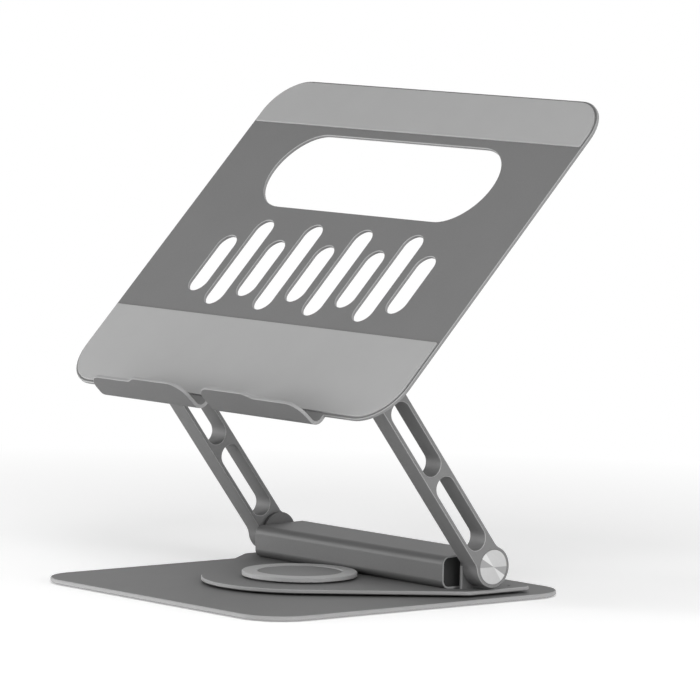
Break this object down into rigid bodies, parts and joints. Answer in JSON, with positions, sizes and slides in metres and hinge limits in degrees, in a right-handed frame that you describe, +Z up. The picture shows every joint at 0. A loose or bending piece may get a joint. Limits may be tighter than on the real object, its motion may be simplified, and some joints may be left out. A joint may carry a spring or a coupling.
{
  "type": "laptop stand with usb hub",
  "caption": "Folding laptop stand: tilting slotted tray with front hooks on slotted arms with friction hinges, a swivel plate on a flat base, and a USB hub between the arms.",
  "frame": {"origin": "on the swivel axis, at the level of the grip sheet's underside", "axes": "+X to the right of the person at the laptop's keyboard, +Y to the back, +Z up"},
  "size_m": [0.28, 0.2126, 0.2705],
  "materials": {
    "grey_steel": "space-grey powder coat, fine matt grain",
    "grey_aluminium": "sandblasted and anodised space grey",
    "light_aluminium": "sandblasted and anodised light grey",
    "turned_aluminium": "turned on its face, bright",
    "bright_steel": "bright zinc plate",
    "pad_silicone": "matt light grey silicone",
    "foot_rubber": "matt dark rubber",
    "glide_plastic": "smooth dark acetal",
    "black_plastic": "fine matt grain",
    "blue_plastic": "moulded blue",
    "circuit_board": "green solder mask"
  },
  "bodies": {
    "base": {"base_plate": "grey_steel", "base_grip": "foot_rubber", "pivot_disc": "bright_steel", "pivot_screws": "bright_steel", "pivot_ring": "light_aluminium", "pivot_inlay": "grey_aluminium", "lower_glide": "glide_plastic", "upper_glide": "glide_plastic"},
    "turntable": {"swivel_plate": "grey_steel", "hub_sleeve": "grey_aluminium", "hub_left_plug": "black_plastic", "hub_right_plug": "black_plastic", "hub_board": "circuit_board", "hub_chip": "black_plastic", "usb_a_shells": "bright_steel", "usb_a_tongues": "blue_plastic", "usb_c_shell": "bright_steel", "usb_c_tongue": "black_plastic", "hub_screws": "bright_steel", "lower_hinge_shafts": "bright_steel", "lower_hinge_washers": "bright_steel", "lower_hinge_nuts": "bright_steel"},
    "arms": {"left_arm": "grey_aluminium", "right_arm": "grey_aluminium", "left_hinge_cap": "turned_aluminium", "right_hinge_cap": "turned_aluminium", "upper_hinge_caps": "turned_aluminium"},
    "tray": {"tray_plate": "grey_aluminium", "upper_pad": "pad_silicone", "lower_pad": "pad_silicone", "left_tray_bracket": "grey_aluminium", "right_tray_bracket": "grey_aluminium", "bracket_rivets": "bright_steel", "upper_hinge_shafts": "bright_steel", "upper_hinge_washers": "bright_steel", "upper_hinge_nuts": "bright_steel"}
  },
  "joints": [
    {"name": "base_swivel", "type": "hinge", "parent": "base", "child": "turntable", "pos_m": [0, 0, 0], "axis": [0, 0, 1], "continuous": true},
    {"name": "arm_lift", "type": "hinge", "parent": "turntable", "child": "arms", "pos_m": [0, 0.054, 0.0192], "axis": [1, 0, 0], "range_deg": [-30, 36]},
    {"name": "tray_tilt", "type": "hinge", "parent": "arms", "child": "tray", "pos_m": [0, -0.02575, 0.12212], "axis": [1, 0, 0], "range_deg": [-60, 20]}
  ]
}
